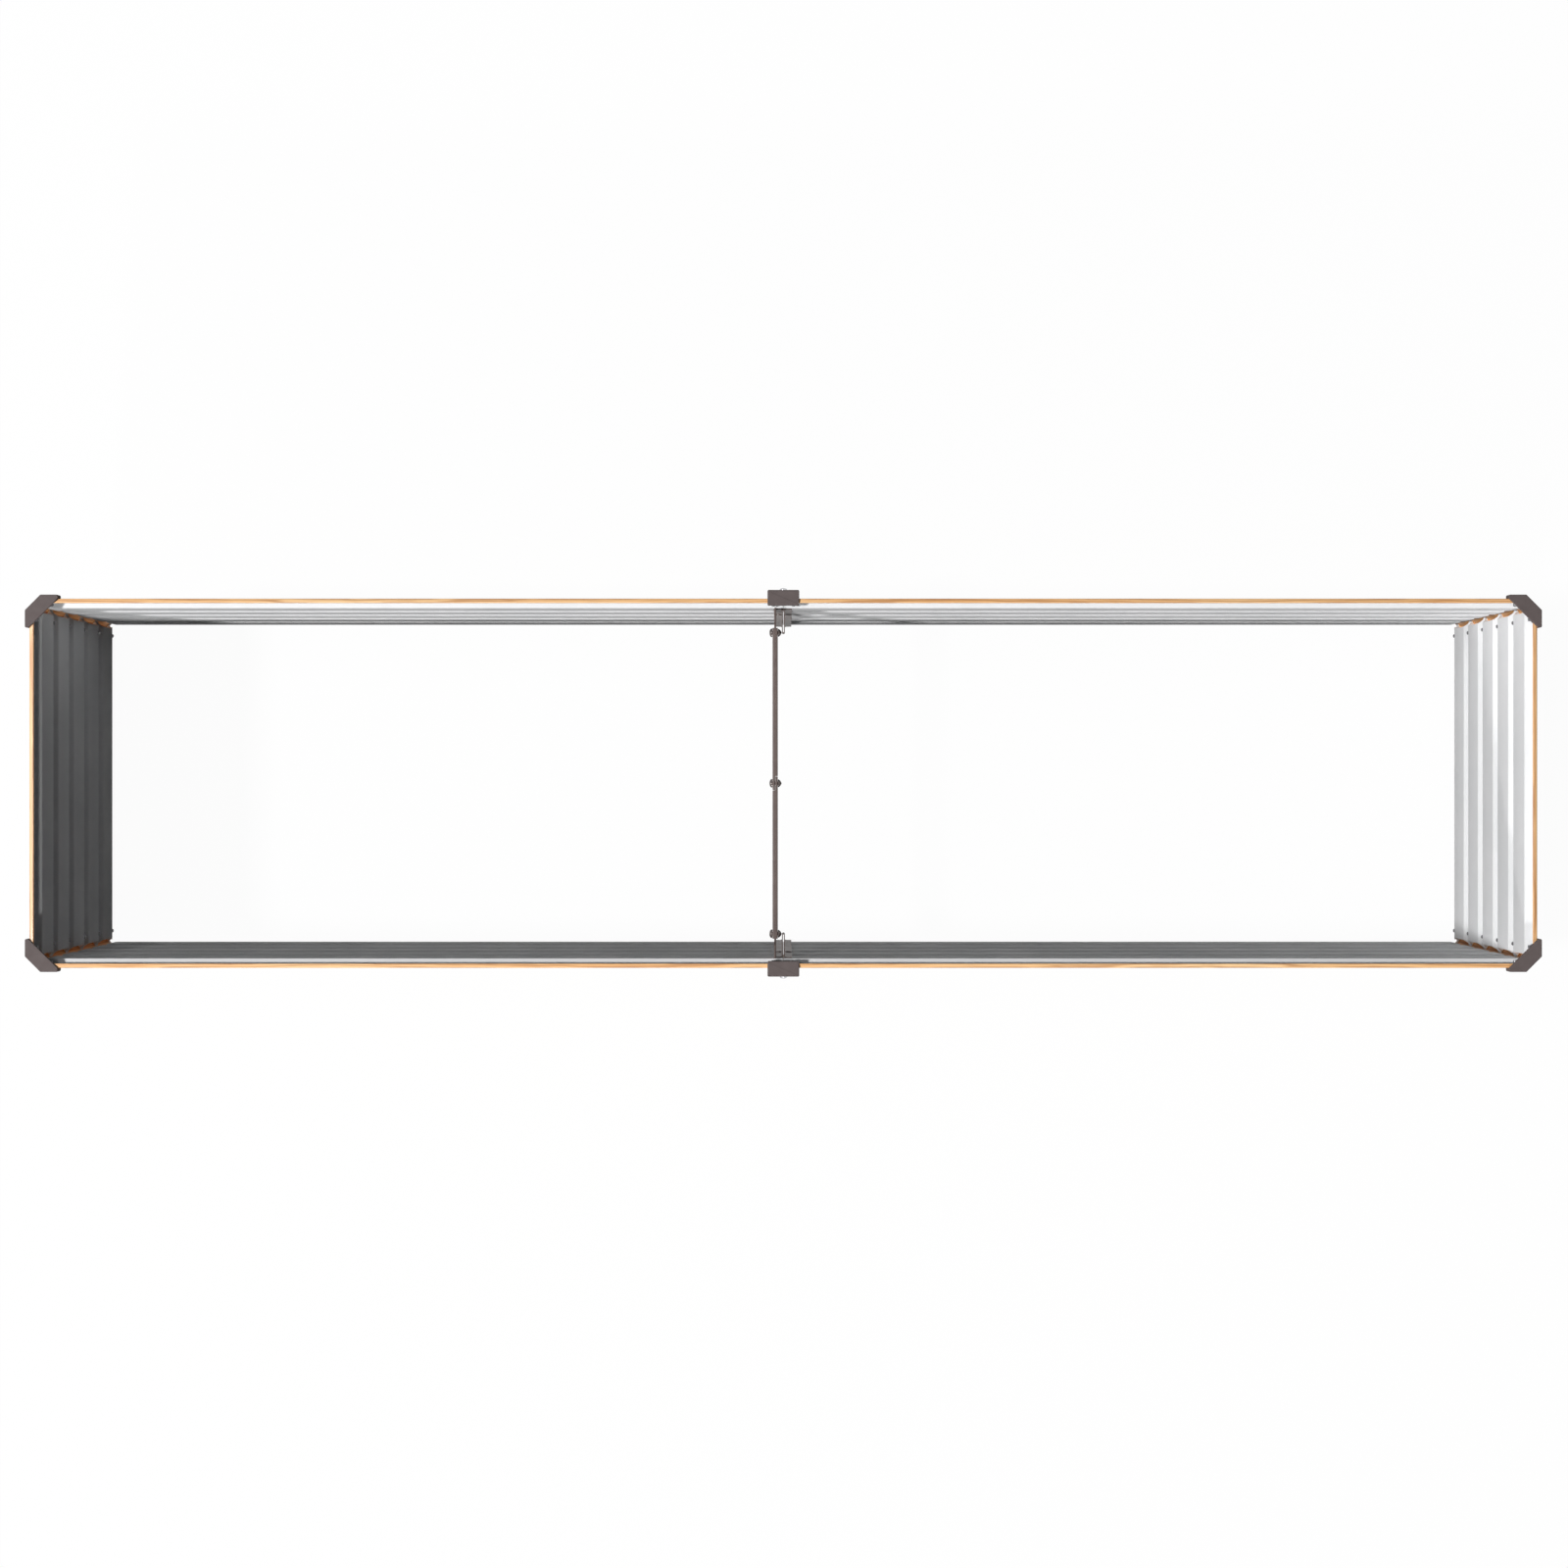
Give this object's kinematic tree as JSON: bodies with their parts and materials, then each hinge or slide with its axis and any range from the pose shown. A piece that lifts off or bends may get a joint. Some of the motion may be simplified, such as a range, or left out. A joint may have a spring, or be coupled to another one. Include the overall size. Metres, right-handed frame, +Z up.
{
  "type": "raised garden bed",
  "caption": "Long, low raised garden bed of ribbed steel panels with a wood-grain coat, taupe corner and mid-post caps, and one cross brace; open at the top and bottom.",
  "frame": {"origin": "on the ground under the middle of the bed", "axes": "X along the bed, Y across it, Z up"},
  "size_m": [2.4374, 0.629, 0.4153],
  "materials": {
    "coated_sheet": "satin wood-grain coat outside and over the rim, plain galvanised grey inside",
    "cap_moulding": "fine satin taupe",
    "bracket_steel": "satin dark taupe coat",
    "fastener_steel": "zinc-plated, slightly dull"
  },
  "bodies": {
    "root": {"back_brace_bolt": "fastener_steel", "back_brace_half": "bracket_steel", "back_brace_nut": "fastener_steel", "back_bracket_left_bolt": "fastener_steel", "back_bracket_right_bolt": "fastener_steel", "back_left_corner_cap": "cap_moulding", "back_left_corner_high_bolt": "fastener_steel", "back_left_corner_low_bolt": "fastener_steel", "back_left_corner_post": "coated_sheet", "back_left_panel": "coated_sheet", "back_left_seam_high_bolt": "fastener_steel", "back_left_seam_low_bolt": "fastener_steel", "back_mid_cap": "cap_moulding", "back_mid_cap_screw": "fastener_steel", "back_right_corner_cap": "cap_moulding", "back_right_corner_high_bolt": "fastener_steel", "back_right_corner_low_bolt": "fastener_steel", "back_right_corner_post": "coated_sheet", "back_right_panel": "coated_sheet", "back_right_seam_high_bolt": "fastener_steel", "back_right_seam_low_bolt": "fastener_steel", "back_seam_bracket": "bracket_steel", "back_seam_cover": "coated_sheet", "front_brace_bolt": "fastener_steel", "front_brace_half": "bracket_steel", "front_brace_nut": "fastener_steel", "front_bracket_left_bolt": "fastener_steel", "front_bracket_right_bolt": "fastener_steel", "front_left_corner_cap": "cap_moulding", "front_left_corner_high_bolt": "fastener_steel", "front_left_corner_low_bolt": "fastener_steel", "front_left_corner_post": "coated_sheet", "front_left_panel": "coated_sheet", "front_left_seam_high_bolt": "fastener_steel", "front_left_seam_low_bolt": "fastener_steel", "front_mid_cap": "cap_moulding", "front_mid_cap_screw": "fastener_steel", "front_right_corner_cap": "cap_moulding", "front_right_corner_high_bolt": "fastener_steel", "front_right_corner_low_bolt": "fastener_steel", "front_right_corner_post": "coated_sheet", "front_right_panel": "coated_sheet", "front_right_seam_high_bolt": "fastener_steel", "front_right_seam_low_bolt": "fastener_steel", "front_seam_bracket": "bracket_steel", "front_seam_cover": "coated_sheet", "left_end_back_high_bolt": "fastener_steel", "left_end_back_low_bolt": "fastener_steel", "left_end_front_high_bolt": "fastener_steel", "left_end_front_low_bolt": "fastener_steel", "left_end_panel": "coated_sheet", "middle_brace_bolt": "fastener_steel", "middle_brace_nut": "fastener_steel", "right_end_back_high_bolt": "fastener_steel", "right_end_back_low_bolt": "fastener_steel", "right_end_front_high_bolt": "fastener_steel", "right_end_front_low_bolt": "fastener_steel", "right_end_panel": "coated_sheet"}
  },
  "joints": []
}
